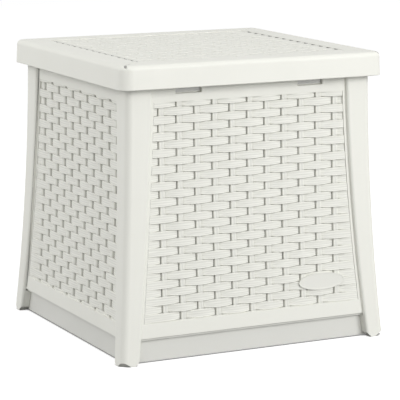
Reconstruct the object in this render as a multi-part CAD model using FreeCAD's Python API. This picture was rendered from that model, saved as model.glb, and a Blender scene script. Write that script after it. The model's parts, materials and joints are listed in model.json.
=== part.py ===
import FreeCAD, Part
import math
import os

# Storage side table: a flared resin box on four corner legs, with a hinged, skirted lid.
# Millimetres, +Z up, front towards -Y, origin on the floor under the middle of the box.

V = FreeCAD.Vector

# Body outline: width and depth over the legs at the floor and at the rim
foot_width = 498.0
foot_depth = 480.0
rim_width = 453.0
rim_depth = 435.0
body_height = 480.0
flare_sag = 5.1

# Corner legs
leg_wall = 5.8
leg_corner_radius = 10.0
leg_width_foot = 33.0
leg_width_rim = 47.0
leg_edge_round = 5.0
foot_chamfer = 8.0

# Side panels
panel_fit = 0.2
panel_depth = 9.5
panel_bottom = 42.0
panel_end_gap = 5.0
field_depth = 6.0
bottom_rail = 22.0
top_rail = 52.0
rail_bevel = 3.0
field_margin = 5.0

# Woven relief of the fields: plain arched strands laid across stakes
stake_count = 11
stake_width = 9.0
stake_rise = 3.9
strand_gap = 3.0
strand_crown = 4.7
strand_tip = 0.9
row_pitch = 13.55
row_gap = 2.7
first_row = {"x": 2.3, "y": -2.2}
weave_root = 0.6
lid_row_count = 27
lid_stake_rise = 2.1
lid_strand_crown = 2.7
lid_strand_tip = 1.7
lid_weave_margin = 7.0

# Slots in the top rails: open through the back panel, closed by a thin web behind the front one
slot_width = 48.0
slot_height = 22.0
slot_spacing = 227.0
slot_below_rim = 28.0
slot_web = 2.0

# Base tray
tray_gap = 0.5
tray_wall = 3.5
tray_floor = 4.0
tray_lip = 20.0
tray_ledge = 6.0
tray_ledge_thickness = 4.0
tray_floor_clearance = 2.0
tray_rib_height = 4.0
tray_rib_count = 3

# Lid
lid_skirt_height = 40.0
lid_skirt_gap = 13.0
lid_skirt_wall = 5.5
lid_draft = 2.0
lid_corner_radius = 22.0
lid_edge_round = 8.0
lid_hem_round = 1.5
lid_deck = 4.0
lid_band_width = 48.0
lid_field_depth = 4.0
lid_rest_rib = 5.0
lid_rest_rib_width = 5.0
mitre_groove = 1.2

# Hinges at the two slots of the back panel
pin_diameter = 5.0
pin_clearance = 0.05
knuckle_wall = 2.5
ear_thickness = 5.0
ear_wall = 3.0
ear_side_gap = 0.4
hinge_stand_off = 4.5
hinge_below_skirt = 1.0
slot_clearance = 1.0
bracket_flange = 3.0
bracket_flange_margin = 5.0
leaf_thickness = 4.5
leaf_height = 24.0

# Screws
screw_diameter = 4.0
screw_head_diameter = 8.0
screw_head_height = 2.2
screw_clearance = 0.1
screw_end_cover = 1.2
screw_seat = 0.8
leg_screw_heights = (130.0, 380.0)
base_screw_height = 22.0
hinge_screw_diameter = 2.5
hinge_screw_head_diameter = 5.0
hinge_screw_head_height = 1.4

# Bare oval badge on the front panel
badge_width = 88.0
badge_height = 29.0
badge_corner_gap = 24.0
badge_z = 105.0
badge_thickness = 1.6
badge_rim = 2.0
badge_dish = 0.6

# Worked-out places
panel_inset = leg_wall + panel_fit
panel_inner = panel_inset + panel_depth
field_inset = panel_inset + field_depth
field_bottom = panel_bottom + bottom_rail
field_top = body_height - top_rail
tray_inset = panel_inner + tray_gap
ledge_low = panel_bottom - tray_ledge_thickness
lid_bottom_x = rim_width / 2 + lid_skirt_gap + lid_skirt_wall
lid_bottom_y = rim_depth / 2 + lid_skirt_gap + lid_skirt_wall
lid_inner_x = lid_bottom_x - lid_skirt_wall
lid_inner_y = lid_bottom_y - lid_skirt_wall
deck_under = body_height + lid_rest_rib
field_floor = deck_under + lid_deck
lid_top = field_floor + lid_field_depth
lid_hem = lid_top - lid_skirt_height
lid_field_x = lid_bottom_x - lid_draft - lid_band_width
lid_field_y = lid_bottom_y - lid_draft - lid_band_width
slot_z = body_height - slot_below_rim
hinge_y = rim_depth / 2 + hinge_stand_off
hinge_z = lid_hem - hinge_below_skirt
knuckle_radius = pin_diameter / 2 + knuckle_wall
ear_radius = pin_diameter / 2 + ear_wall
far = max(foot_width, foot_depth)


# One flared side: the distance from the middle plane follows a circle arc
# from foot_half at the floor to rim_half at the rim, drawn in by the sag half way up.
class Flare:
    def __init__(self, foot_half, rim_half):
        middle = (foot_half + rim_half) / 2 - flare_sag
        low = V(foot_half, 0, 0)
        mid = V(middle, 0, body_height / 2)
        high = V(rim_half, 0, body_height)
        circle = Part.Arc(low, mid, high).toShape().Curve
        self.centre = circle.Center
        self.radius = circle.Radius

    def at(self, z):
        return self.centre.x - math.sqrt(self.radius ** 2 - (z - self.centre.z) ** 2)

    def slope_at(self, z):
        return (z - self.centre.z) / math.sqrt(self.radius ** 2 - (z - self.centre.z) ** 2)


side_x = Flare(foot_width / 2, rim_width / 2)
side_y = Flare(foot_depth / 2, rim_depth / 2)
flares = {"x": side_x, "y": side_y}
across = {"x": "y", "y": "x"}


# The width of a leg's face at a height
def leg_width(z):
    return leg_width_foot + (leg_width_rim - leg_width_foot) * z / body_height


badge_edge = side_x.at(badge_z) - leg_width(badge_z) - field_margin - badge_corner_gap
badge_x = badge_edge - badge_width / 2


def fixed(inset):
    return lambda z: inset


def on_side(axis, u, z):
    return V(u, 0, z) if axis == "x" else V(0, u, z)


def flare_arc(axis, inset, z0, z1, sign=1):
    heights = (z0, (z0 + z1) / 2, z1)
    points = [on_side(axis, sign * (flares[axis].at(z) - inset(z)), z) for z in heights]
    return Part.Arc(*points).toShape()


def ends_of(edge):
    return edge.Vertexes[0].Point, edge.Vertexes[-1].Point


def drawn_along(axis, edges):
    run = V(0, 2 * far, 0) if axis == "x" else V(2 * far, 0, 0)
    solid = Part.Face(Part.Wire(Part.__sortEdges__(edges))).extrude(run)
    solid.translate(run * -0.5)
    return solid


# A wall on the positive side of an axis, between two insets from the flared outline
def flared_wall(axis, outer, inner, z0, z1, sill=0.0):
    outside = flare_arc(axis, fixed(outer), z0, z1)
    inside = flare_arc(axis, fixed(inner), z0 + sill, z1)
    low_out, high_out = ends_of(outside)
    low_in, high_in = ends_of(inside)
    edges = [outside, Part.makeLine(high_out, high_in), inside, Part.makeLine(low_in, low_out)]
    return drawn_along(axis, edges)


# Everything between the two flared sides of an axis, at an inset that may change with height
def flared_core(axis, inset, z0, z1):
    right = flare_arc(axis, inset, z0, z1)
    left = flare_arc(axis, inset, z0, z1, -1)
    low_right, high_right = ends_of(right)
    low_left, high_left = ends_of(left)
    edges = [right, Part.makeLine(high_right, high_left), left, Part.makeLine(low_left, low_right)]
    return drawn_along(axis, edges)


def flared_block(inset, z0, z1):
    return flared_core("x", fixed(inset), z0, z1).common(flared_core("y", fixed(inset), z0, z1))


# The four upright corner edges of a flared block, rounded
def rounded_block(inset, z0, z1, radius):
    block = flared_block(inset, z0, z1)
    uprights = [e for e in block.Edges if e.BoundBox.ZLength > 0.9 * (z1 - z0)]
    return block.makeFillet(radius, uprights)


def mirrored(shape, flip_x, flip_y):
    if flip_x:
        shape = shape.mirror(V(0, 0, 0), V(1, 0, 0))
    if flip_y:
        shape = shape.mirror(V(0, 0, 0), V(0, 1, 0))
    return shape


def rod(start, direction, diameter, length):
    return Part.makeCylinder(diameter / 2, length, start, direction)


# A pan-head screw from its seat along a direction, and the hole that it goes into
def screw(seat, direction, length, diameter, head_diameter, head_height):
    head = rod(seat - direction * head_height, direction, head_diameter, head_height)
    return head.fuse(rod(seat, direction, diameter, length)).removeSplitter()


def screw_hole(seat, direction, length, diameter, head_diameter):
    hole = rod(seat, direction, diameter + 2 * screw_clearance, length + screw_clearance)
    room = 2 * head_diameter
    face = rod(seat - direction * room, direction, head_diameter + 2 * screw_seat, room)
    return hole.fuse(face)


# Places of the structural screws: (axis, seat, direction, length) in the quarter x > 0, y > 0
def quarter_screws(height, seat_inset, end_inset):
    found = []
    for axis in ("x", "y"):
        other = across[axis]
        u = flares[axis].at(height) - seat_inset + screw_seat
        along = flares[other].at(height) - (leg_width(height) + end_inset[axis]) / 2
        seat = V(u, along, height) if axis == "x" else V(along, u, height)
        direction = V(1, 0, 0) if axis == "x" else V(0, 1, 0)
        length = seat_inset - screw_seat - screw_end_cover
        found.append((axis, seat, direction, length))
    return found


panel_ends = {"x": panel_inner + panel_fit, "y": leg_wall + panel_end_gap}
leg_screw_places = []
for screw_height in leg_screw_heights:
    leg_screw_places += quarter_screws(screw_height, panel_inner, panel_ends)
base_screw_places = quarter_screws(base_screw_height, tray_inset + tray_wall, panel_ends)


def all_quarters(shape):
    flips = [(x, y) for x in (False, True) for y in (False, True)]
    return [mirrored(shape, x, y) for x, y in flips]


def screw_group(places):
    solids = []
    for axis, seat, direction, length in places:
        head = (screw_head_diameter, screw_head_height)
        one = screw(seat, direction, length, screw_diameter, *head)
        solids += all_quarters(one)
    return Part.makeCompound(solids)


def screw_holes(places, wanted=("x", "y")):
    holes = []
    for axis, seat, direction, length in places:
        if axis in wanted:
            one = screw_hole(seat, direction, length, screw_diameter, screw_head_diameter)
            holes += all_quarters(one)
    return holes


# Centres of the two slots along X
def slot_centres():
    return (-slot_spacing / 2, slot_spacing / 2)


# Half a pitch of the field's width is left over at its ends
def stake_pitch(field_width):
    return field_width / (stake_count + 0.5)


def stake_at(column, pitch):
    return (column - (stake_count - 1) / 2) * pitch


# The top of a strand from its crown to one end, arched down to a tip or level where it runs on
def strand_top(end, arched, crown, tip):
    if not arched:
        return Part.makeLine(V(0, crown, 0), V(end, crown, 0))
    return Part.Arc(V(0, crown, 0), V(end / 2, crown - (crown - tip) / 4, 0), V(end, tip, 0)).toShape()


# A strand lying along X, with its floor at Y = 0 and its crown towards +Y
def strand_block(left, right, height, crown, tip):
    tops = [strand_top(-left[0], left[1], crown, tip), strand_top(right[0], right[1], crown, tip)]
    high = [ends_of(top)[1] for top in tops]
    low = [V(point.x, -weave_root, 0) for point in high]
    sides = [Part.makeLine(low[0], low[1])] + [Part.makeLine(low[i], high[i]) for i in range(2)]
    block = Part.Face(Part.Wire(Part.__sortEdges__(tops + sides))).extrude(V(0, 0, height))
    block.translate(V(0, 0, -height / 2))
    return block


# Each strand goes over one stake, and the next row over the stakes between. At the edges of
# the field the strands run on. The result lists (strand, middle along X, row).
def strands(pitch, row_count, row_height, crown, tip):
    arched = (pitch - stake_width / 2 - strand_gap, True)
    level = {-1: (strand_gap, False), 0: (pitch, False)}
    found = []
    for row in range(row_count):
        for column in range(-(row % 2), stake_count + 1, 2):
            left = level.get(column, arched)
            right = level.get(stake_count - 1 - column, arched)
            block = strand_block(left, right, row_height - row_gap, crown, tip)
            found.append((block, stake_at(column, pitch), row))
    return found


# Strands and stakes of a panel on the positive side of an axis, rooted in its field's floor and rails
def panel_weave(axis):
    flare = flares[axis]
    other = flares[across[axis]]
    low = field_bottom - weave_root
    high = field_top + weave_root
    middle = (low + high) / 2
    pitch = stake_pitch(2 * (other.at(middle) - leg_width(middle) - field_margin))
    first = field_top + first_row[axis]
    row_count = math.ceil((first - field_bottom) / row_pitch) + 1
    pieces = []
    for block, u, row in strands(pitch, row_count, row_pitch, strand_crown, strand_tip):
        z = first - row * row_pitch
        block.rotate(V(0, 0, 0), V(1, 0, 0), -math.degrees(math.atan(flare.slope_at(z))))
        block.translate(V(u, flare.at(z) - field_inset, z))
        if axis == "x":
            block.rotate(V(0, 0, 0), V(0, 0, 1), -90)
        pieces.append(block)
    layer = flared_wall(axis, field_inset - stake_rise, field_inset + 2 * weave_root, low, high)
    return pieces + [layer.common(bar) for bar in stake_bars(axis, pitch, low, high)]


def stake_bars(axis, pitch, low, high):
    bars = []
    for column in range(stake_count):
        start = stake_at(column, pitch) - stake_width / 2
        size = (far, stake_width) if axis == "x" else (stake_width, far)
        corner = V(0, start, low) if axis == "x" else V(start, 0, low)
        bars.append(Part.makeBox(*size, high - low, corner))
    return bars


# The lid's weave lies flat and stops short of the recess's walls
def lid_weave():
    edge = lid_field_x - lid_weave_margin
    end = lid_field_y - lid_weave_margin
    pitch = stake_pitch(2 * edge)
    row_height = 2 * end / lid_row_count
    inside = Part.makeBox(2 * edge, 2 * end, lid_top, V(-edge, -end, 0))
    pieces = []
    for block, u, row in strands(pitch, lid_row_count, row_height, lid_strand_crown, lid_strand_tip):
        block.rotate(V(0, 0, 0), V(1, 0, 0), 90)
        block.translate(V(u, end - (row + 0.5) * row_height, field_floor))
        pieces.append(block.common(inside) if abs(u) + pitch > edge else block)
    for column in range(stake_count):
        corner = V(stake_at(column, pitch) - stake_width / 2, -end, field_floor - 2 * weave_root)
        pieces.append(Part.makeBox(stake_width, 2 * end, lid_stake_rise + 2 * weave_root, corner))
    return pieces


# A moulded panel on the positive side of an axis, before its weave: rails, stiles and a recessed field
def panel(axis):
    other = across[axis]
    body = flared_wall(axis, panel_inset, panel_inner, panel_bottom, body_height)
    body = body.common(flared_core(other, fixed(panel_ends[axis]), panel_bottom, body_height))

    beside_leg = lambda z: leg_width(z) + field_margin
    field = flared_wall(axis, -field_depth, field_inset, field_bottom, field_top, rail_bevel)
    field = field.common(flared_core(other, beside_leg, field_bottom, field_top))
    return body.cut([field] + screw_holes(leg_screw_places, (axis,)))


def slot_blocks():
    low = slot_z - slot_height / 2
    corners = [V(x - slot_width / 2, 0, low) for x in slot_centres()]
    return [Part.makeBox(slot_width, far, slot_height, corner) for corner in corners]


def hinge_screw_places(flange_seat):
    inset = slot_width / 2 + bracket_flange_margin / 2
    return [V(x + side * inset, flange_seat, slot_z) for x in slot_centres() for side in (-1, 1)]


# The bracket's flange lies on the inside of the back panel, round the slot
flange_front = side_y.at(slot_z) - panel_inner - panel_fit
flange_seat = flange_front - bracket_flange
bracket_screw_length = bracket_flange + panel_fit + panel_depth / 2
bracket_screw_places = hinge_screw_places(flange_seat)


def hinge_screw(seat, length):
    head = (hinge_screw_head_diameter, hinge_screw_head_height)
    return screw(seat, V(0, 1, 0), length, hinge_screw_diameter, *head)


def hinge_screw_hole(seat, length):
    return rod(seat, V(0, 1, 0), hinge_screw_diameter + 2 * screw_clearance, length + screw_clearance)


def back_panel(weave):
    holes = [hinge_screw_hole(seat, bracket_screw_length) for seat in bracket_screw_places]
    return panel("y").cut(slot_blocks() + holes).fuse(weave)


# An oval block drawn upright about the origin, from a depth behind its seat out to the front
def oval(width, height, behind, front):
    disc = Part.makeCylinder(1, behind + front, V(0, behind, 0), V(0, -1, 0))
    stretch = FreeCAD.Matrix()
    stretch.scale(width / 2, 1, height / 2)
    return disc.transformGeometry(stretch)


# Badge shapes are leaned with the front panel and set level with the face of its rails
def on_badge_seat(shape):
    lean = math.degrees(math.atan(side_y.slope_at(badge_z)))
    shape.rotate(V(0, 0, 0), V(1, 0, 0), lean)
    shape.translate(V(badge_x, panel_inset - side_y.at(badge_z), badge_z))
    return shape


def front_panel(weave):
    behind = flared_core("y", fixed(panel_inner - slot_web), field_top, body_height)
    pockets = [block.cut(behind) for block in slot_blocks()]
    root = (field_depth + panel_depth) / 2
    boss = oval(badge_width - 2 * badge_rim, badge_height - 2 * badge_rim, root, 0.0)
    boss = mirrored(on_badge_seat(boss), False, True)
    body = panel("y").cut(pockets).fuse(weave + [boss])
    return mirrored(body, False, True)


def badge_plate():
    plate = oval(badge_width, badge_height, 0.0, badge_thickness)
    floor = badge_thickness - badge_dish
    dish = oval(badge_width - 2 * badge_rim, badge_height - 2 * badge_rim, -floor, badge_thickness)
    return on_badge_seat(plate.cut(dish))


# A corner leg in the quarter x > 0, y > 0: an L of two flared faces, narrower towards
# a thick foot that carries the ledge of the base tray
def leg():
    body = rounded_block(0.0, 0.0, body_height, leg_corner_radius)
    body = body.cut(flared_block(tray_inset - panel_fit, 0.0, body_height))
    for axis in ("x", "y"):
        body = body.cut(flared_core(axis, leg_width, 0.0, body_height))
    body = body.common(Part.makeBox(far, far, body_height))
    body = body.makeFillet(leg_edge_round, [e for e in body.Edges if is_leg_inner_edge(e)])
    body = body.cut(rounded_block(leg_wall, ledge_low, body_height, leg_corner_radius - leg_wall))
    return body.cut(foot_cuts()).cut(screw_holes(leg_screw_places + base_screw_places))


# The long outer edges where a leg's two faces end beside the panels
def is_leg_inner_edge(edge):
    if edge.BoundBox.ZLength < 0.9 * body_height:
        return False
    middle = edge.valueAt((edge.FirstParameter + edge.LastParameter) / 2)
    width = leg_width(middle.z)
    reach_x = side_x.at(middle.z) - middle.x
    reach_y = side_y.at(middle.z) - middle.y
    near = leg_wall / 2
    return (reach_x < near and reach_y > width - near) or (reach_y < near and reach_x > width - near)


# Sloping cuts at the lower corners of a foot
def foot_cuts():
    cuts = []
    side = foot_chamfer * math.sqrt(2)
    inner_x = side_x.at(0.0) - leg_width_foot
    inner_y = side_y.at(0.0) - leg_width_foot
    across_x = Part.makeBox(side, far, side, V(-side / 2, 0, -side / 2))
    across_x.rotate(V(0, 0, 0), V(0, 1, 0), 45)
    across_x.translate(V(inner_x, side_y.at(0.0) - leg_width_foot + leg_wall, 0))
    across_y = Part.makeBox(far, side, side, V(0, -side / 2, -side / 2))
    across_y.rotate(V(0, 0, 0), V(1, 0, 0), 45)
    across_y.translate(V(side_x.at(0.0) - leg_width_foot + leg_wall, inner_y, 0))
    corner = Part.makeBox(far, side, side, V(-far / 2, -side / 2, -side / 2))
    corner.rotate(V(0, 0, 0), V(1, 0, 0), 45)
    corner.rotate(V(0, 0, 0), V(0, 0, 1), 135)
    rounding = leg_corner_radius * (1 - 1 / math.sqrt(2))
    corner.translate(V(side_x.at(0.0) - rounding, side_y.at(0.0) - rounding, 0))
    return [across_x, across_y, corner]


# The base tray: plinth ring, floor of the box, ledge under the panels and shallow ribs
def base_tray():
    low = tray_floor_clearance
    high = panel_bottom + tray_floor + tray_lip
    ring = flared_block(tray_inset, low, high).cut(flared_block(tray_inset + tray_wall, low, high))
    floor = flared_block(tray_inset + tray_wall / 2, panel_bottom, panel_bottom + tray_floor)
    ledge = flared_block(tray_inset - tray_ledge, ledge_low, panel_bottom)
    ledge = ledge.cut(flared_block(tray_inset + tray_wall / 2, ledge_low, panel_bottom))
    tray = ring.fuse([floor, ledge] + tray_ribs()).removeSplitter()
    return tray.cut(screw_holes(base_screw_places))


def tray_ribs():
    rib_low = panel_bottom - tray_rib_height
    inside = flared_block(tray_inset + tray_wall / 2, rib_low, panel_bottom)
    pitch_x = foot_width / (tray_rib_count + 1)
    pitch_y = foot_depth / (tray_rib_count + 1)
    ribs = []
    for i in range(tray_rib_count):
        step = i - (tray_rib_count - 1) / 2
        start_y = V(step * pitch_x - tray_wall / 2, -far / 2, rib_low)
        start_x = V(-far / 2, step * pitch_y - tray_wall / 2, rib_low)
        along_y = Part.makeBox(tray_wall, far, tray_rib_height, start_y)
        along_x = Part.makeBox(far, tray_wall, tray_rib_height, start_x)
        ribs += [along_y.common(inside), along_x.common(inside)]
    return ribs


def rounded_outline(half_x, half_y, radius, z):
    edges = []
    quarter = radius / math.sqrt(2)
    centres = ((1, 1), (-1, 1), (-1, -1), (1, -1))
    for sx, sy in centres:
        middle = V(sx * (half_x - radius), sy * (half_y - radius), z)
        along_x = middle + V(sx * radius, 0, 0)
        along_y = middle + V(0, sy * radius, 0)
        start, end = (along_x, along_y) if sx == sy else (along_y, along_x)
        edges.append(Part.Arc(start, middle + V(sx * quarter, sy * quarter, 0), end).toShape())
    runs = []
    for i, edge in enumerate(edges):
        runs.append(edge)
        runs.append(Part.makeLine(edge.Vertexes[-1].Point, edges[(i + 1) % 4].Vertexes[0].Point))
    return Part.Wire(runs)


def rounded_prism(half_x, half_y, radius, z0, z1):
    return Part.Face(rounded_outline(half_x, half_y, radius, z0)).extrude(V(0, 0, z1 - z0))


def lid_shell():
    low = rounded_outline(lid_bottom_x, lid_bottom_y, lid_corner_radius, lid_hem)
    top_x = lid_bottom_x - lid_draft
    top_y = lid_bottom_y - lid_draft
    high = rounded_outline(top_x, top_y, lid_corner_radius - lid_draft, lid_top)
    block = Part.makeLoft([low, high], True, True)
    block = block.makeFillet(lid_edge_round, level_edges(block, lid_top))
    block = block.makeFillet(lid_hem_round, level_edges(block, lid_hem))

    inner_radius = lid_corner_radius - lid_skirt_wall
    room_low = lid_hem - lid_deck
    block = block.cut(rounded_prism(lid_inner_x, lid_inner_y, inner_radius, room_low, deck_under))
    field_corner = V(-lid_field_x, -lid_field_y, field_floor)
    block = block.cut(Part.makeBox(2 * lid_field_x, 2 * lid_field_y, lid_top, field_corner))

    band_top = lid_top - lid_deck
    wall = lid_edge_round
    hollow_low = deck_under - lid_deck
    hollow = rounded_prism(lid_inner_x - wall, lid_inner_y - wall, inner_radius, hollow_low, band_top)
    keep_x = lid_field_x + lid_deck
    keep_y = lid_field_y + lid_deck
    core = Part.makeBox(2 * keep_x, 2 * keep_y, lid_top, V(-keep_x, -keep_y, 0))
    block = block.cut(hollow.cut(core))
    block = block.fuse([rest_rib(band_top)] + lid_weave()).removeSplitter()
    leaf_holes = [hinge_screw_hole(seat, leaf_screw_length) for seat in leaf_screw_places()]
    return block.cut(mitre_cuts() + leaf_holes)


def level_edges(shape, z):
    near = 1e-4
    boxes = [(e, e.BoundBox) for e in shape.Edges]
    return [e for e, box in boxes if abs(box.ZMin - z) < near and abs(box.ZMax - z) < near]


# The rib under the bands that lies on the rim of the panels
def rest_rib(band_top):
    middle = panel_inset + panel_depth / 2
    half_x = side_x.at(body_height) - middle + lid_rest_rib_width / 2
    half_y = side_y.at(body_height) - middle + lid_rest_rib_width / 2
    height = band_top - body_height
    outer = Part.makeBox(2 * half_x, 2 * half_y, height, V(-half_x, -half_y, body_height))
    in_x = half_x - lid_rest_rib_width
    in_y = half_y - lid_rest_rib_width
    return outer.cut(Part.makeBox(2 * in_x, 2 * in_y, height, V(-in_x, -in_y, body_height)))


# Narrow grooves where the four bands of the lid meet at the corners
def mitre_cuts():
    cuts = []
    for sx in (-1, 1):
        for sy in (-1, 1):
            start = V(sx * lid_field_x, sy * lid_field_y, lid_top)
            turn = math.degrees(math.atan2(sy, sx))
            length = lid_band_width * math.sqrt(2)
            low = V(-2 * mitre_groove, -mitre_groove / 2, -mitre_groove)
            groove = Part.makeBox(length, mitre_groove, 2 * mitre_groove, low)
            groove.rotate(V(0, 0, 0), V(0, 0, 1), turn)
            groove.translate(start)
            cuts.append(groove)
    return cuts


leaf_face = lid_inner_y - leaf_thickness
leaf_half = slot_width / 2 - slot_clearance - ear_thickness - ear_side_gap
leaf_screw_length = leaf_thickness + lid_skirt_wall - lid_draft - screw_end_cover


def leaf_screw_places():
    z = hinge_z + leaf_height * 2 / 3
    return [V(x + side * leaf_half / 2, leaf_face, z) for x in slot_centres() for side in (-1, 1)]


# The moving hinge leaf: a knuckle round the pin and a plate on the inside of the lid's back skirt
def hinge_leaf(x):
    left = x - leaf_half
    width = 2 * leaf_half
    start = V(left, hinge_y, hinge_z)
    plate_low = max(hinge_z, lid_hem)
    knuckle = rod(start, V(1, 0, 0), 2 * knuckle_radius, width)
    plate = Part.makeBox(width, leaf_thickness, leaf_height, V(left, leaf_face, plate_low))
    neck = Part.makeBox(width, lid_inner_y - hinge_y, knuckle_radius, V(left, hinge_y, plate_low))
    bore = rod(start, V(1, 0, 0), pin_diameter + 2 * pin_clearance, width)
    leaf = knuckle.fuse([plate, neck]).removeSplitter().cut(bore)
    return leaf.cut([hinge_screw_hole(seat, leaf_screw_length) for seat in leaf_screw_places()])


# The fixed hinge bracket: a plug in the slot with a flange inside and two ears outside
def hinge_bracket(x):
    half = slot_width / 2 - slot_clearance
    plug_height = slot_height - 2 * slot_clearance
    plug_depth = side_y.at(slot_z) - panel_inset - flange_seat
    plug_corner = V(x - half, flange_seat, slot_z - plug_height / 2)
    plug = Part.makeBox(2 * half, plug_depth, plug_height, plug_corner)
    wide = slot_width / 2 + bracket_flange_margin
    tall = slot_height / 2 + bracket_flange_margin
    pieces = [Part.makeBox(2 * wide, bracket_flange, 2 * tall, V(x - wide, flange_seat, slot_z - tall))]
    reach = hinge_y - flange_seat
    for left in (x - half, x + half - ear_thickness):
        arm_corner = V(left, flange_seat, hinge_z - ear_radius)
        pieces.append(Part.makeBox(ear_thickness, reach, 2 * ear_radius, arm_corner))
        pieces.append(rod(V(left, hinge_y, hinge_z), V(1, 0, 0), 2 * ear_radius, ear_thickness))
    bracket = plug.fuse(pieces).removeSplitter()

    room_start = V(x - half + ear_thickness, hinge_y, hinge_z)
    room_width = 2 * (leaf_half + ear_side_gap)
    room = rod(room_start, V(1, 0, 0), 2 * (knuckle_radius + slot_clearance), room_width)
    bore = rod(V(x - half, hinge_y, hinge_z), V(1, 0, 0), pin_diameter, 2 * half)
    holes = [hinge_screw_hole(seat, bracket_screw_length) for seat in bracket_screw_places]
    return bracket.cut([room, bore] + holes)


def hinge_pin(x):
    half = slot_width / 2 - slot_clearance
    return rod(V(x - half, hinge_y, hinge_z), V(1, 0, 0), pin_diameter, 2 * half)


def hinge_screw_group(places, length):
    return Part.makeCompound([hinge_screw(seat, length) for seat in places])


def build():
    left_x, right_x = slot_centres()
    weave = panel_weave("y")
    right = panel("x").fuse(panel_weave("x"))
    one_leg = leg()
    return {
        "lid_shell": lid_shell(),
        "hinge_leaf_left": hinge_leaf(left_x),
        "hinge_leaf_right": hinge_leaf(right_x),
        "hinge_leaf_screws": hinge_screw_group(leaf_screw_places(), leaf_screw_length),
        "hinge_pin_left": hinge_pin(left_x),
        "hinge_pin_right": hinge_pin(right_x),
        "hinge_bracket_left": hinge_bracket(left_x),
        "hinge_bracket_right": hinge_bracket(right_x),
        "hinge_bracket_screws": hinge_screw_group(bracket_screw_places, bracket_screw_length),
        "front_panel": front_panel(weave),
        "back_panel": back_panel(weave),
        "left_panel": right.mirror(V(0, 0, 0), V(1, 0, 0)),
        "right_panel": right,
        "leg_back_right": one_leg,
        "leg_back_left": mirrored(one_leg, True, False),
        "leg_front_right": mirrored(one_leg, False, True),
        "leg_front_left": mirrored(one_leg, True, True),
        "base_tray": base_tray(),
        "leg_screws": screw_group(leg_screw_places),
        "base_screws": screw_group(base_screw_places),
        "badge_plate": badge_plate(),
    }


os.makedirs("parts", exist_ok=True)
for node, shape in build().items():
    kinds = {"solids": len(shape.Solids), "volume": round(shape.Volume, 1), "valid": shape.isValid()}
    print(node, kinds)
    shape.exportStep("parts/" + node + ".step")
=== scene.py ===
import json
import math

import bmesh
import bpy
from mathutils import Matrix, Vector
from mathutils.bvhtree import BVHTree


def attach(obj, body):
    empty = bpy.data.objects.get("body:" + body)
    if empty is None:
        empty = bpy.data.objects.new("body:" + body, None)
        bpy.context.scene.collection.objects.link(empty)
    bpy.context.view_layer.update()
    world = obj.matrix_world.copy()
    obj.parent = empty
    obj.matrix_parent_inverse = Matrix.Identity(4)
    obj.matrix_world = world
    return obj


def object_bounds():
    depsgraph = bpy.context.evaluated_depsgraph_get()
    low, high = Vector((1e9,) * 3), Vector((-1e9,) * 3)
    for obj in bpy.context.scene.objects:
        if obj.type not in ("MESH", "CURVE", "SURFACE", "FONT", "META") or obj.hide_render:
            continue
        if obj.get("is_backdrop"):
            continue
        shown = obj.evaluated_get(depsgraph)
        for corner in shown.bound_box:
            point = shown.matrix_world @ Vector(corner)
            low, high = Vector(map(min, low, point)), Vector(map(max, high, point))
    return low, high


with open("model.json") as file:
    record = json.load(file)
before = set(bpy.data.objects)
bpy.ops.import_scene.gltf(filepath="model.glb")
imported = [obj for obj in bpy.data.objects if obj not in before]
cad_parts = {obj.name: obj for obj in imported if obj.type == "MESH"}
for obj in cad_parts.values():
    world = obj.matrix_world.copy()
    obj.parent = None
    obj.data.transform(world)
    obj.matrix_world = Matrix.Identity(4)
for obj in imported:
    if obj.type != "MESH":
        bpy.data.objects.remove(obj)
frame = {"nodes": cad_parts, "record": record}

cadLow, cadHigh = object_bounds()    # the CAD box, before anything is added
print("frame loaded:", len(frame["nodes"]), "nodes")

xAxis = Vector((1.0, 0.0, 0.0))
yAxis = Vector((0.0, 1.0, 0.0))
zAxis = Vector((0.0, 0.0, 1.0))
white = (1.0, 1.0, 1.0, 1.0)


# Finishes

noiseSpan = (0.3, 0.7)    # most of a noise lies between these


def newMaterial(name):
    material = bpy.data.materials.new(name)
    material.use_nodes = True
    tree = material.node_tree
    return material, tree, tree.nodes["Principled BSDF"]


def addNode(tree, kind, **values):    # a value goes to the input of that name, or else to the node
    node = tree.nodes.new(kind)
    for key, value in values.items():
        if key in node.inputs:
            node.inputs[key].default_value = value
        else:
            setattr(node, key, value)
    return node


def noiseOn(tree, source, scale, detail=3.0):
    noise = addNode(tree, "ShaderNodeTexNoise", Scale=scale, Detail=detail)
    tree.links.new(source, noise.inputs["Vector"])
    return noise.outputs["Fac"]


def between(tree, source, low, high):    # spreads a noise over a range
    ends = {"From Min": noiseSpan[0], "From Max": noiseSpan[1], "To Min": low, "To Max": high}
    ramp = addNode(tree, "ShaderNodeMapRange", **ends)
    tree.links.new(source, ramp.inputs["Value"])
    return ramp.outputs["Result"]


def blend(tree, factor, first, second):    # each end is a colour or an output
    mix = addNode(tree, "ShaderNodeMix", data_type="RGBA")
    ends = [socket for socket in mix.inputs if socket.type == "RGBA"]
    for socket, value in zip(ends, (first, second)):
        if isinstance(value, tuple):
            socket.default_value = (*value, 1.0)
        else:
            tree.links.new(value, socket)
    tree.links.new(factor, mix.inputs["Factor"])
    return [socket for socket in mix.outputs if socket.type == "RGBA"][0]


def bumpFrom(tree, source, strength, distance, under=None):
    bump = addNode(tree, "ShaderNodeBump", Strength=strength, Distance=distance)
    tree.links.new(source, bump.inputs["Height"])
    if under is not None:
        tree.links.new(under, bump.inputs["Normal"])
    return bump.outputs["Normal"]


def setLook(tree, shader, colour, roughness, normal):
    tree.links.new(colour, shader.inputs["Base Color"])
    tree.links.new(roughness, shader.inputs["Roughness"])
    tree.links.new(normal, shader.inputs["Normal"])


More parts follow.
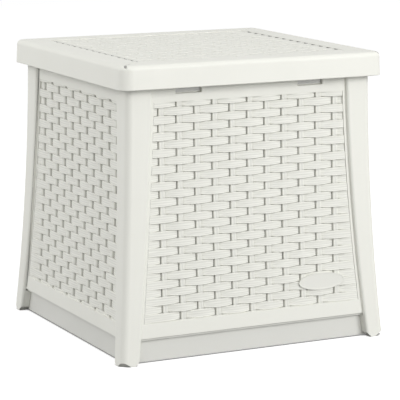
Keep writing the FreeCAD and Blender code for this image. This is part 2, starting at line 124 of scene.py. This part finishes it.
smoothResin = {
    "light": (0.862, 0.862, 0.800),
    "dark": (0.838, 0.838, 0.774),
    "cloud": 7.0,            # slow drift of shade, per metre
    "grain": 1500.0,         # fine spark texture of the mould
    "grainBump": 0.6,
    "grainDepth": 0.00006,
    "ripple": 26.0,          # slight waviness of a moulded wall
    "rippleBump": 0.35,
    "rippleDepth": 0.00030,
    "roughness": (0.48, 0.60),
}


def smoothResinFinish(name, look):
    material, tree, shader = newMaterial(name)
    coords = addNode(tree, "ShaderNodeTexCoord").outputs["Object"]
    cloud = noiseOn(tree, coords, look["cloud"])
    grain = noiseOn(tree, coords, look["grain"], detail=2.0)
    ripple = noiseOn(tree, coords, look["ripple"], detail=1.0)
    colour = blend(tree, cloud, look["dark"], look["light"])
    roughness = between(tree, ripple, *look["roughness"])
    wavy = bumpFrom(tree, ripple, look["rippleBump"], look["rippleDepth"])
    grainy = bumpFrom(tree, grain, look["grainBump"], look["grainDepth"], wavy)
    setLook(tree, shader, colour, roughness, grainy)
    return material


wovenResin = {
    "light": (0.945, 0.945, 0.878),
    "dark": (0.835, 0.835, 0.770),
    "creviceShade": (0.25, 0.25, 0.235),   # painted shade between the strands, where light is lost
    "fibre": (24.0, 480.0, 1.0),      # long along a strand, fine across it
    "fibreBump": 0.6,
    "fibreDepth": 0.00030,
    "grain": 1800.0,
    "grainBump": 0.5,
    "grainDepth": 0.00005,
    "roughness": (0.50, 0.64),
}


def wovenResinFinish(name, look):
    material, tree, shader = newMaterial(name)
    coords = addNode(tree, "ShaderNodeUVMap", uv_map="strand").outputs["UV"]
    depth = addNode(tree, "ShaderNodeAttribute", attribute_name="depth").outputs["Fac"]
    stretch = addNode(tree, "ShaderNodeMapping", Scale=look["fibre"])
    tree.links.new(coords, stretch.inputs["Vector"])
    fibre = noiseOn(tree, stretch.outputs["Vector"], 1.0, detail=2.0)
    grain = noiseOn(tree, coords, look["grain"], detail=1.0)
    shade = blend(tree, between(tree, fibre, 0.0, 1.0), look["dark"], look["light"])
    # painted shade: the depth attribute blends the colour towards the crevice shade
    colour = blend(tree, depth, shade, look["creviceShade"])
    roughness = between(tree, fibre, *look["roughness"])
    lined = bumpFrom(tree, fibre, look["fibreBump"], look["fibreDepth"])
    grainy = bumpFrom(tree, grain, look["grainBump"], look["grainDepth"], lined)
    setLook(tree, shader, colour, roughness, grainy)
    return material


zincSteel = {
    "light": (0.62, 0.63, 0.64),
    "dark": (0.46, 0.47, 0.49),
    "cloud": 420.0,
    "scratch": (260.0, 4200.0, 4200.0),
    "scratchBump": 0.4,
    "scratchDepth": 0.00003,
    "roughness": (0.24, 0.42),
}


def zincSteelFinish(name, look):
    material, tree, shader = newMaterial(name)
    coords = addNode(tree, "ShaderNodeTexCoord").outputs["Object"]
    stretch = addNode(tree, "ShaderNodeMapping", Scale=look["scratch"])
    tree.links.new(coords, stretch.inputs["Vector"])
    scratch = noiseOn(tree, stretch.outputs["Vector"], 1.0)
    cloud = noiseOn(tree, coords, look["cloud"])
    colour = blend(tree, cloud, look["dark"], look["light"])
    roughness = between(tree, scratch, *look["roughness"])
    scratched = bumpFrom(tree, scratch, look["scratchBump"], look["scratchDepth"])
    setLook(tree, shader, colour, roughness, scratched)
    shader.inputs["Metallic"].default_value = 1.0
    return material


hingeResin = {
    **smoothResin,
    "light": (0.80, 0.80, 0.745),
    "dark": (0.765, 0.765, 0.71),
    "roughness": (0.42, 0.52),
}
badgeResin = {
    **smoothResin,
    "light": (0.80, 0.80, 0.745),
    "dark": (0.78, 0.78, 0.725),
    "grain": 2600.0,
    "grainDepth": 0.00002,
    "rippleDepth": 0.0001,
    "roughness": (0.46, 0.54),
}
trayShadeResin = {                # painted shade: darker, for the base low down near the floor
    **smoothResin,
    "light": (0.750, 0.750, 0.706),
    "dark": (0.720, 0.720, 0.676),
    "roughness": (0.52, 0.64),
}
lidShadedWovenResin = {            # a shallower fibre than on the panels, and darker: painted shade for the less lit top
    **wovenResin,
    "light": (0.850, 0.850, 0.790),
    "dark": (0.825, 0.825, 0.765),
    # painted shade between the strands, darker on the lid
    "creviceShade": (0.22, 0.22, 0.20),
    "fibreDepth": 0.00010,
}
paintedShadeResin = {                # painted shade: dark pieces and cut ends that stand in for shadow in seams and gaps
    **smoothResin,
    "light": (0.34, 0.34, 0.32),
    "dark": (0.30, 0.30, 0.28),
    "roughness": (0.60, 0.70),
}
# painted shade on the back wall of a front slot
slotShadeResin = {
    **smoothResin,
    "light": (0.82, 0.82, 0.80),
    "dark": (0.79, 0.79, 0.77),
    "roughness": (0.60, 0.70),
}
slotFootShadeResin = {
    **slotShadeResin,
    "light": (0.70, 0.70, 0.68),
    "dark": (0.67, 0.67, 0.65),
}

finishes = {                 # by the material slot of a node
    "resin": smoothResinFinish("smooth_resin", smoothResin),
    "hinge_resin": smoothResinFinish("hinge_resin", hingeResin),
    "badge": smoothResinFinish("badge_resin", badgeResin),
    "steel": zincSteelFinish("zinc_steel", zincSteel),
}
wovenFinish = wovenResinFinish("woven_resin", wovenResin)
lidShadedWovenFinish = wovenResinFinish("lid_shaded_woven_resin", lidShadedWovenResin)
paintedShadeFinish = smoothResinFinish("painted_shade_resin", paintedShadeResin)
slotShadeFinish = smoothResinFinish("slot_shade_resin", slotShadeResin)
slotFootShadeFinish = smoothResinFinish("slot_foot_shade_resin", slotFootShadeResin)
ownFinishes = {"base_tray": smoothResinFinish("tray_shade_resin", trayShadeResin)}

for subpart in frame["record"]["subparts"]:
    finish = ownFinishes.get(subpart["node"], finishes[subpart["material_slot"]])
    for materialSlot in frame["nodes"][subpart["node"]].material_slots:
        materialSlot.material = finish


# Pieces that ride on a body of the frame

def meshFrom(bm, name):
    mesh = bpy.data.meshes.new(name)
    bm.to_mesh(mesh)
    bm.free()
    return mesh


def addPiece(name, body, mesh, *pieceFinishes):
    for pieceFinish in pieceFinishes:
        mesh.materials.append(pieceFinish)
    piece = bpy.data.objects.new(name, mesh)
    bpy.context.scene.collection.objects.link(piece)
    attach(piece, body)


def addUnderside(bm, faces, drop):
    made = bmesh.ops.extrude_face_region(bm, geom=faces)["geom"]
    lowered = [item for item in made if isinstance(item, bmesh.types.BMVert)]
    bmesh.ops.translate(bm, verts=lowered, vec=-zAxis * drop)


# Where a woven field lies: measured on the CAD piece that carries it

gauge = {
    "offCentre": 0.0007,  # keeps the rays off the mirror line
    "far": 1.0,           # a ray from outside starts this far out
    "step": 0.0001,
    "span": 0.002,        # the lean of a side is taken over this height
    "inset": 0.004,       # and no closer to a rail than this
}


def surfaceOf(nodeName):
    loose = bmesh.new()
    loose.from_mesh(frame["nodes"][nodeName].data)
    surface = BVHTree.FromBMesh(loose)
    loose.free()
    return surface


def measureField(nodeName, outward, across, up, wall):
    solid = surfaceOf(nodeName)
    aside = across * gauge["offCentre"]

    def floorAt(v):    # the smooth inner face, plus the wall under the weave
        return solid.ray_cast(aside + up * v, outward)[3] + wall["thickness"]

    def riseAt(v):
        reach = solid.ray_cast(aside + up * v + outward * gauge["far"], -outward)[3]
        return gauge["far"] - reach - floorAt(v)

    def sideAt(v):     # just over the solid's own strands
        return solid.ray_cast(up * v + outward * (floorAt(v) + wall["over"]), -across)[3]

    def railFrom(v, step):
        while riseAt(v + step) < wall["over"]:
            v += step
        return v

    return {
        "place": lambda flat: across * flat.x + up * flat.y + outward * (floorAt(flat.y) + flat.z),
        "sideAt": sideAt,
        "low": railFrom(wall["middle"], -gauge["step"]),
        "high": railFrom(wall["middle"], gauge["step"]),
    }


# Weave: strands laid over upright stakes, worked out flat as (along, up, height above the floor)

strand = {
    "spans": 4,             # lengths between its two ends
    "valleys": 3,           # between its lengthwise ridges
    "endShade": 0.5,        # how much painted shade it gets down its ends,
    "sideShade": 0.8,       # down its long sides,
    "edgeShade": 0.26,      # at its rounded edges
    "valleyShade": 0.19,    # and between its ridges
    "endGap": 0.0004,       # to the stakes on both sides
    "endRamp": 0.0008,
    "swell": 0.0005,        # wider than half a row at its crown
    "taper": 0.0011,        # and narrower at its ends
    "wall": 0.0002,         # lean of its long sides
    "round": 0.0012,        # width of its rounded edges
    "runOn": 2.0,           # stretch of the half that runs on at the side of a field
}
stake = {
    "count": 11,
    "spare": 0.5,           # share of a pitch that is left over at the ends of a field
    "half": 0.0050,
    "valleys": 1,
    "endShade": 0.8,
    "sideShade": 0.8,
    "edgeShade": 0.10,
    "valleyShade": 0.22,
    "crossShade": 0.4,      # painted shadow where a strand comes over it,
    "crossBelow": 0.1,      # which is where its wave along the rows is below this
    "wall": 0.0003,
    "round": 0.0007,
    "steps": 4,             # lengths to a row
}
ground = {                  # the sheet under a field
    "rise": 0.0003,
    "sunk": 0.0003,         # into the wall, like the feet of all bars
    "steps": 13,
    # painted shade all over the sheet
    "shade": 0.8,
}
cut = {
    "onPlane": 1e-7,        # a point this close lies on the plane
    "weld": 2e-6,           # points this close become one
    "endMaterial": 1,       # the second material of a weave, painted shade on its cut ends
}
sharpAngle = 42.0           # degrees


def newRelief():
    bm = bmesh.new()
    bm.loops.layers.uv.new("strand")
    # painted shade, from 0 for none to 1 for the full crevice shade
    bm.verts.layers.float.new("depth")
    return bm


def ridgedBar(bar, steps, reach, ramp, form, sectionAt):    # along x, with sloping tips and round edges
    bm = newRelief()
    depth = bm.verts.layers.float["depth"]
    lanes = 2 * bar["valleys"]
    tips = (-1, steps + 1)      # beyond its sections, which count from 0 to steps
    edges = (-1, lanes + 1)     # beyond its ridges and valleys, which count from 0 to lanes
    feet = (-2, lanes + 2)
    lengths = tips[1] - tips[0]
    widths = feet[1] - feet[0]
    bmesh.ops.create_grid(bm, x_segments=lengths, y_segments=widths, size=0.5)
    grid = {}
    for vert in bm.verts:
        i = round((vert.co.x + 0.5) * lengths) + tips[0]
        j = round((vert.co.y + 0.5) * widths) + feet[0]
        grid[i, j] = vert
        atTip = i in tips
        atEdge = j in edges
        atFoot = j in feet
        atValley = j % 2 == 1 and 0 < j < lanes
        along = 2.0 * min(max(i, 0), steps) / steps - 1.0
        aside = 2.0 * min(max(j, 0), lanes) / lanes - 1.0
        wide, height, shade = sectionAt(along)
        inward = 0.0 if atFoot else bar["wall"] if atEdge else bar["wall"] + bar["round"]
        height -= form["drop"] if atEdge else form["ridge"] * atValley
        x = along * (reach if atTip else reach - ramp)
        vert.co = (x, aside * (wide - inward), -ground["sunk"] if atTip or atFoot else height)
        # painted shade at tips, feet, edges and valleys, kept in the depth attribute
        shades = (
            bar["endShade"] * atTip,
            bar["sideShade"] * atFoot,
            bar["edgeShade"] * atEdge,
            bar["valleyShade"] * atValley,
            shade,
        )
        vert[depth] = max(shades) * form["shade"]
    for i, inI in zip(tips, (0, steps)):    # its corners fold from the tip inwards
        for j, inJ in zip(feet, edges):
            bmesh.ops.connect_verts(bm, verts=[grid[i, j], grid[inI, inJ]])

    def footLine(i):    # all lanes of a tip, or else the two feet
        return [grid[i, j] for j in (range(feet[0], feet[1] + 1) if i in tips else feet)]

    for i in range(*tips):    # its underside, in as many lengths
        bm.faces.new(footLine(i) + footLine(i + 1)[::-1])
    bmesh.ops.recalc_face_normals(bm, faces=bm.faces[:])
    return bm


def trim(bm, point, normal):    # cuts off what lies beyond a plane and closes the cut with an end of painted shade
    everything = bm.verts[:] + bm.edges[:] + bm.faces[:]
    bmesh.ops.bisect_plane(
        bm, geom=everything, dist=cut["onPlane"], plane_co=point, plane_no=normal, clear_outer=True
    )
    bmesh.ops.remove_doubles(bm, verts=bm.verts[:], dist=cut["weld"])
    for face in bmesh.ops.holes_fill(bm, edges=bm.edges[:], sides=0)["faces"]:
        face.material_index = cut["endMaterial"]


def setGrain(bm, upright):    # the fibre runs along u
    layer = bm.loops.layers.uv["strand"]
    for face in bm.faces:
        for loop in face.loops:
            along, aside, height = loop.vert.co
            loop[layer].uv = (aside, along - height) if upright else (along, aside - height)


def addTo(whole, part, upright):    # with its faces turned outwards
    setGrain(part, upright)
    bmesh.ops.recalc_face_normals(part, faces=part.faces[:])
    if part.calc_volume(signed=True) < 0.0:
        bmesh.ops.reverse_faces(part, faces=part.faces[:])
    mesh = meshFrom(part, "scratch")
    whole.from_mesh(mesh)
    bpy.data.meshes.remove(mesh)


def columnAt(column, pitch):
    return (column - (stake["count"] - 1) / 2) * pitch


def groundSheet(field):
    bm = newRelief()
    depth = bm.verts.layers.float["depth"]
    bmesh.ops.create_grid(bm, x_segments=1, y_segments=ground["steps"], size=0.5)
    for vert in bm.verts:
        v = field["low"] + (vert.co.y + 0.5) * (field["high"] - field["low"])
        vert.co = (math.copysign(field["sideAt"](v), vert.co.x), v, ground["rise"])
    addUnderside(bm, bm.faces[:], ground["rise"] + ground["sunk"])
    for vert in bm.verts:
        vert[depth] = ground["shade"]
    return bm


def stakeBar(column, pitch, rows, form):
    length = rows["pitch"] * rows["count"] + 2.0 * form["overrun"]
    middle = rows["first"] - 0.5 * (rows["count"] - 1) * rows["pitch"]
    shown = rows["first"] - ((column + 1) % 2) * rows["pitch"]    # a row where this stake shows

    def sectionAt(along):
        v = middle + along * 0.5 * length
        phase = math.cos(math.pi * (v - shown) / rows["pitch"])
        crossed = stake["crossShade"] * (phase < stake["crossBelow"])
        return stake["half"], form["stake"] + form["swing"] * phase, crossed

    bm = ridgedBar(stake, stake["steps"] * rows["count"], 0.5 * length, 0.0, form, sectionAt)
    u = columnAt(column, pitch)
    for vert in bm.verts:
        vert.co = (u - vert.co.y, middle + vert.co.x, vert.co.z)
    return bm


def strandBar(pitch, rows, form, level):    # arched, or level on the side (-1 or 1) where it runs on
    def sectionAt(along):
        bend = along * along if along * level <= 0 else 0.0
        wide = 0.5 * rows["pitch"] + strand["swell"] - strand["taper"] * bend
        return wide, form["crown"] - (form["crown"] - form["tip"]) * bend, 0.0

    reach = pitch - stake["half"] - strand["endGap"]
    bm = ridgedBar(strand, strand["spans"], reach, strand["endRamp"], form, sectionAt)
    for vert in bm.verts:
        if vert.co.x * level > 0:
            vert.co.x *= strand["runOn"]
    return meshFrom(bm, "strand")


def addStakes(whole, pitch, rows, form, railCuts):
    for column in range(stake["count"]):
        bar = stakeBar(column, pitch, rows, form)
        for point, normal in railCuts:
            trim(bar, point, normal)
        addTo(whole, bar, True)


def addStrand(whole, mesh, u, v, cuts):
    bar = newRelief()
    bar.from_mesh(mesh)
    bmesh.ops.translate(bar, verts=bar.verts[:], vec=(u, v, 0.0))
    for point, normal in cuts:
        trim(bar, point, normal)
    addTo(whole, bar, False)


def addStrands(whole, field, pitch, rows, form, railCuts):
    meshes = {level: strandBar(pitch, rows, form, level) for level in (-1, 0, 1)}
    for row in range(rows["count"]):
        v = rows["first"] - row * rows["pitch"]
        near = min(max(v, field["low"] + gauge["inset"]), field["high"] - gauge["inset"])
        wallAt = field["sideAt"](near)
        lean = (field["sideAt"](near + gauge["span"]) - wallAt) / gauge["span"]
        reached = [    # the rails that this row runs into
            (point, normal) for point, normal in railCuts
            if (v - point.y) * normal.y + 0.5 * rows["pitch"] > 0.0
        ]
        for column in range(-(row % 2), stake["count"] + 1, 2):
            u = columnAt(column, pitch)
            edge = (column >= stake["count"] - 1) - (column <= 0)    # it runs on at this side
            beyond = Vector((edge, -lean, 0.0))
            for stretch in form["stretches"][edge][row % 2] if edge else [()]:
                cuts = [
                    (Vector((edge * (wallAt - inset), near, 0.0)), beyond * hand)
                    for inset, hand in zip(stretch, (1.0, -1.0))
                ]
                addStrand(whole, meshes[edge], u, v, cuts + reached)
    for mesh in meshes.values():
        bpy.data.meshes.remove(mesh)


def weave(name, body, field, pitch, rows, form, finish):
    railCuts = (
        (yAxis * (field["high"] - form["highMargin"]), yAxis),
        (yAxis * (field["low"] + form["lowMargin"]), -yAxis),
    )
    whole = newRelief()
    addTo(whole, groundSheet(field), True)
    addStakes(whole, pitch, rows, form, railCuts)
    addStrands(whole, field, pitch, rows, form, railCuts)
    for vert in whole.verts:
        vert.co = field["place"](vert.co)
    mesh = meshFrom(whole, name)
    mesh.polygons.foreach_set("use_smooth", [True] * len(mesh.polygons))
    mesh.set_sharp_from_angle(angle=math.radians(sharpAngle))
    addPiece(name, body, mesh, finish, paintedShadeFinish)
    print(name, len(mesh.polygons), "faces")


panelWall = {"thickness": 0.0035, "over": 0.0055, "middle": 0.2495}
panelForm = {
    "crown": 0.0058,        # a strand where it crosses over a stake
    "tip": 0.0015,          # and at its two ends
    "stake": 0.0045,
    "swing": 0.0002,        # a stake comes forward where it shows
    "ridge": 0.0006,
    "drop": 0.0010,         # of the rounded edges
    "shade": 1.0,
    "stretches": {          # how far in from a side the strands of even and odd rows stop
        -1: ([(0.0006,)], [(0.0006,)]),    # a fine gap beside the stiles
        1: ([(0.0006,)], [(0.0006,)]),
    },
    "lowMargin": -0.0003,   # runs into the rails
    "highMargin": -0.0003,
    "overrun": 0.0,
}
panelRows = {"pitch": 0.01355, "count": 28}
panelSides = {              # outward, across, height of the first row above the field
    "front": (-yAxis, xAxis, -0.0022),
    "back": (yAxis, -xAxis, -0.0022),
    "left": (-xAxis, -yAxis, 0.0023),
    "right": (xAxis, yAxis, 0.0023),
}
for sideName, (outward, across, firstRow) in panelSides.items():
    field = measureField(sideName + "_panel", outward, across, zAxis, panelWall)
    stakePitch = 2.0 * field["sideAt"](panelWall["middle"]) / (stake["count"] + stake["spare"])
    panelRows["first"] = field["high"] + firstRow
    weave("weave_" + sideName, "box", field, stakePitch, panelRows, panelForm, wovenFinish)

lidWall = {"thickness": 0.0040, "over": 0.0033, "middle": 0.0}
lidForm = {
    "crown": 0.0034,
    "tip": 0.0025,
    "stake": 0.0029,
    "swing": 0.0002,
    "ridge": 0.00010,
    "drop": 0.0003,
    "shade": 0.08,
    "stretches": {          # every second row meets the rim, on the left with a groove across it
        -1: ([(0.0008, 0.0049), (0.0062,)], [(0.0062,)]),
        1: ([(0.0008,)], [(0.0062,)]),
    },
    "lowMargin": 0.0062,
    "highMargin": 0.0008,   # the stakes run on to the rim at the back
    "overrun": 0.0062,
}
lidRows = {"count": 27, "edge": 0.0070}    # the solid's strands stop this far from the rim
lidField = measureField("lid_shell", zAxis, xAxis, yAxis, lidWall)
lidHalf = lidField["sideAt"](lidWall["middle"])
lidPitch = 2.0 * (lidHalf - lidRows["edge"]) / (stake["count"] + stake["spare"])
lidRows["pitch"] = (lidField["high"] - lidField["low"] - 2.0 * lidRows["edge"]) / lidRows["count"]
lidRows["first"] = lidField["high"] - lidRows["edge"] - 0.5 * lidRows["pitch"]
weave("weave_lid", "lid", lidField, lidPitch, lidRows, lidForm, lidShadedWovenFinish)


# Pieces of painted shade: slot backs and feet, seams of the lid, joints at the legs, gaps at the rim

def addShade(name, body, bm, finish):
    bmesh.ops.recalc_face_normals(bm, faces=bm.faces[:])
    addPiece(name, body, meshFrom(bm, name), finish)


def addBlock(bm, low, high):
    made = bmesh.ops.create_cube(bm, size=1.0)["verts"]
    for vert in made:
        for axis in range(3):
            vert.co[axis] = low[axis] if vert.co[axis] < 0.0 else high[axis]
    return made


# plates of painted shade at the back and foot of each front slot
slotBack = {"thickness": 0.0006, "sill": 0.0032, "names": ("front_slot_left", "front_slot_right")}
for opening in frame["record"]["physics"]["openings"]:
    if opening["name"] in slotBack["names"]:
        low, high = (Vector(corner) for corner in opening["box_m"])
        low.y = high.y - slotBack["thickness"]
        plate = bmesh.new()
        addBlock(plate, low, high)
        addShade("shade_at_back_of_" + opening["name"], "box", plate, slotShadeFinish)
        sill = bmesh.new()    # painted shade: the corner at its foot is darker
        high.z = low.z + slotBack["sill"]
        inFront = -yAxis * slotBack["thickness"]
        addBlock(sill, low + inFront, high + inFront)
        addShade("shade_at_foot_of_" + opening["name"], "box", sill, slotFootShadeFinish)

seam = {            # painted shadow: lies in the mitre groove, then widens down the round edge of the lid
    "from": 0.030,
    "flatTo": 0.0525,
    "to": 0.0586,
    "half": 0.00055,
    "endHalf": 0.0027,
    "swells": 1.25,     # how fast it widens at first
    "opens": 0.5,       # and how slowly after that
    "swing": 0.0032,    # the wide end lies to one side
    "least": 0.0012,    # the lid is felt for outside the groove
    "above": 0.00008,
    "depth": 0.0010,
    "steps": 8,
}
lidSurface = surfaceOf("lid_shell")


def seamSection(corner, outward, across, step):    # three spots across the seam, on the lid
    share = max(step, 0) / seam["steps"]
    reach = seam["from"] if step < 0 else seam["flatTo"] + share * (seam["to"] - seam["flatTo"])
    wide = math.sin(math.pi * min(seam["swells"] * share, 1.0 - seam["opens"] * share))
    half = seam["half"] + wide * (seam["endHalf"] - seam["half"])
    middle = corner + outward * reach + across * share * seam["swing"]
    felt = max(half, seam["least"])
    levels = []
    for aside in (-felt, 0.0, felt):
        above = middle + across * aside + zAxis * gauge["far"]
        levels.append(lidSurface.ray_cast(above, -zAxis)[0].z + seam["above"])
    levels[1] = max(levels)    # its middle lies over the groove
    spots = [middle + across * half * hand for hand in (-1.0, 0.0, 1.0)]
    for spot, level in zip(spots, levels):
        spot.z = min(level, cadHigh.z - seam["above"])
    return spots


seams = bmesh.new()
for turn in (45.0, 135.0, 225.0, 315.0):
    outward = Matrix.Rotation(math.radians(turn), 3, "Z") @ xAxis
    across = zAxis.cross(outward)
    corner = xAxis * math.copysign(lidHalf, outward.x)
    corner.y = math.copysign(lidField["high"], outward.y)
    sections = []
    for step in range(-1, seam["steps"] + 1):
        spots = seamSection(corner, outward, across, step)
        sections.append([seams.verts.new(spot) for spot in spots])
    faces = []
    for near, far in zip(sections, sections[1:]):
        for lane in (0, 1):
            faces.append(seams.faces.new((near[lane], near[lane + 1], far[lane + 1], far[lane])))
    addUnderside(seams, faces, seam["depth"])
addShade("mitre_seam_shade", "lid", seams, paintedShadeFinish)

legGap = {          # painted shadow in the joint between a side panel and its legs
    "wide": 0.0032,
    "above": 0.00015,
    "over": 0.0006,             # a leg's edge is met this high above the panel
    "sunk": 0.0003,
    "clear": 0.0001,
    "feel": (0.008, -0.020),    # heights in the two rails where the joint is measured
    "ends": (0.0005, -0.0010),
}


def legEdge(panel, leg, outward, across, toLeg, height):    # where the leg meets the panel's face
    start = zAxis * height + across * gauge["offCentre"] + outward * gauge["far"]
    face = panel.ray_cast(start, -outward)[0] + outward * legGap["over"]
    return leg.ray_cast(face, toLeg)[0] - outward * (legGap["over"] - legGap["above"])


joints = bmesh.new()
for sideName in ("left", "right"):
    outward, across = panelSides[sideName][:2]
    panel = surfaceOf(sideName + "_panel")
    heights = [vert.co.z for vert in frame["nodes"][sideName + "_panel"].data.vertices]
    span = (min(heights), max(heights))
    for toLeg in (-across, across):
        leg = surfaceOf("leg_" + ("back_" if toLeg.y > 0.0 else "front_") + sideName)
        low, high = (
            legEdge(panel, leg, outward, across, toLeg, base + step)
            for base, step in zip(span, legGap["feel"])
        )
        rise = (high - low) / (high.z - low.z)
        drop = outward * (legGap["above"] + legGap["sunk"])
        bar = []
        for base, step in zip(span, legGap["ends"]):
            edge = low + rise * (base + step - low.z) - toLeg * legGap["clear"]
            inner = edge - toLeg * legGap["wide"]
            bar.append([joints.verts.new(spot) for spot in (edge, inner, inner - drop, edge - drop)])
        for i in range(4):
            j = (i + 1) % 4
            joints.faces.new((bar[0][i], bar[0][j], bar[1][j], bar[1][i]))
        joints.faces.new(bar[0])
        joints.faces.new(bar[1])
addShade("leg_gap_shade", "box", joints, paintedShadeFinish)

rimGap = {"thick": 0.0014, "clear": 0.0001, "top": 0.0036, "share": 0.90}
gaps = bmesh.new()
for row in range(1, lidRows["count"], 2):    # painted shadow where a row stops short of the right rim
    v = lidRows["first"] - row * lidRows["pitch"]
    half = 0.5 * rimGap["share"] * lidRows["pitch"]
    outer = lidField["sideAt"](v) - rimGap["clear"]
    block = addBlock(gaps, (outer - rimGap["thick"], v - half, 0.0), (outer, v + half, rimGap["top"]))
    for vert in block:
        vert.co = lidField["place"](vert.co)
addShade("rim_gap_shade", "lid", gaps, paintedShadeFinish)
print("slot backs, seams and gaps set")


# Floor, light and camera

floor = {
    "half": 6.0,
    "bounce": (0.12, 0.12, 0.12),    # what lights the object from below
    "seen": (0.95, 0.95, 0.95),
    "roughness": 0.9,
    "glow": 0.45,
    "contact": 0.004,                # painted contact shadow: the floor darkens this close to the object
    "contactPower": 2.0,
    "contactShadow": (0.40, 0.40, 0.39),
}
studio = {"sky": 0.57, "backdrop": 1.0}
softboxes = {
    "key": {"place": (1.39, -2.98, 1.45), "width": 2.2, "height": 1.8, "power": 72.0},
    "fill": {"place": (-2.65, 0.96, 1.28), "width": 2.0, "height": 2.0, "power": 32.0},
    "corner": {"place": (-2.30, -2.30, 1.10), "width": 2.0, "height": 2.0, "power": 11.0},
}
lightAim = Vector((0.0, 0.0, 0.25))
view = {
    "place": (-1.5909, -3.2213, 0.8835),
    "turn": 26.46,      # degrees towards +X
    "dip": 10.48,       # degrees below level
    "lens": 186.39,
    "sensor": 36.0,
}


def combine(tree, operation, first, second):    # the second is a number or an output
    node = addNode(tree, "ShaderNodeMath", operation=operation)
    tree.links.new(first, node.inputs[0])
    if isinstance(second, float):
        node.inputs[1].default_value = second
    else:
        tree.links.new(second, node.inputs[1])
    return node.outputs["Value"]


def seenDirectly(tree):    # camera rays, and what metal and glass show
    rays = addNode(tree, "ShaderNodeLightPath").outputs
    shown = combine(tree, "MAXIMUM", rays["Is Camera Ray"], rays["Is Glossy Ray"])
    return combine(tree, "MAXIMUM", shown, rays["Is Transmission Ray"])


def makeFloor():
    bm = bmesh.new()
    bmesh.ops.create_grid(bm, x_segments=1, y_segments=1, size=floor["half"])
    mesh = meshFrom(bm, "floor")
    sheet = bpy.data.objects.new("floor", mesh)
    bpy.context.scene.collection.objects.link(sheet)
    material, tree, shader = newMaterial("pale_floor")
    seen = seenDirectly(tree)
    # painted contact shadow, from ambient occlusion, in both colour and glow
    near = addNode(tree, "ShaderNodeAmbientOcclusion", Distance=floor["contact"])
    clear = combine(tree, "POWER", near.outputs["AO"], floor["contactPower"])
    shown = blend(tree, clear, floor["contactShadow"], floor["seen"])
    tree.links.new(blend(tree, seen, floor["bounce"], shown), shader.inputs["Base Color"])
    shader.inputs["Roughness"].default_value = floor["roughness"]
    shader.inputs["Specular IOR Level"].default_value = 0.0
    glow = combine(tree, "MULTIPLY", seen, floor["glow"])
    dimmed = combine(tree, "MULTIPLY", glow, clear)
    shader.inputs["Emission Color"].default_value = white
    tree.links.new(dimmed, shader.inputs["Emission Strength"])
    mesh.materials.append(material)
    sheet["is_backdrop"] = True


def makeSky():
    world = bpy.data.worlds.new("studio")
    bpy.context.scene.world = world
    world.use_nodes = True
    tree = world.node_tree
    light = tree.nodes["Background"]
    light.inputs["Color"].default_value = white
    light.inputs["Strength"].default_value = studio["sky"]
    backdrop = addNode(tree, "ShaderNodeBackground", Color=white, Strength=studio["backdrop"])
    mix = addNode(tree, "ShaderNodeMixShader")
    tree.links.new(seenDirectly(tree), mix.inputs["Fac"])
    tree.links.new(light.outputs["Background"], mix.inputs[1])
    tree.links.new(backdrop.outputs["Background"], mix.inputs[2])
    tree.links.new(mix.outputs["Shader"], tree.nodes["World Output"].inputs["Surface"])


def makeSoftbox(name, box):
    lamp = bpy.data.lights.new(name, "AREA")
    lamp.shape = "RECTANGLE"
    lamp.size = box["width"]
    lamp.size_y = box["height"]
    lamp.energy = box["power"]
    holder = bpy.data.objects.new(name, lamp)
    holder.location = box["place"]
    aim = lightAim - Vector(box["place"])
    holder.rotation_euler = aim.to_track_quat("-Z", "Y").to_euler()
    bpy.context.scene.collection.objects.link(holder)


def makeCamera():
    data = bpy.data.cameras.new("camera")
    data.lens = view["lens"]
    data.sensor_width = view["sensor"]
    camera = bpy.data.objects.new("camera", data)
    camera.location = view["place"]
    camera.rotation_euler = (math.radians(90.0 - view["dip"]), 0.0, math.radians(-view["turn"]))
    bpy.context.scene.collection.objects.link(camera)
    bpy.context.scene.camera = camera


makeFloor()
makeSky()
for boxName, box in softboxes.items():
    makeSoftbox(boxName, box)
makeCamera()
bpy.context.scene.view_settings.view_transform = "Standard"
print("studio set")

low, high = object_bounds()
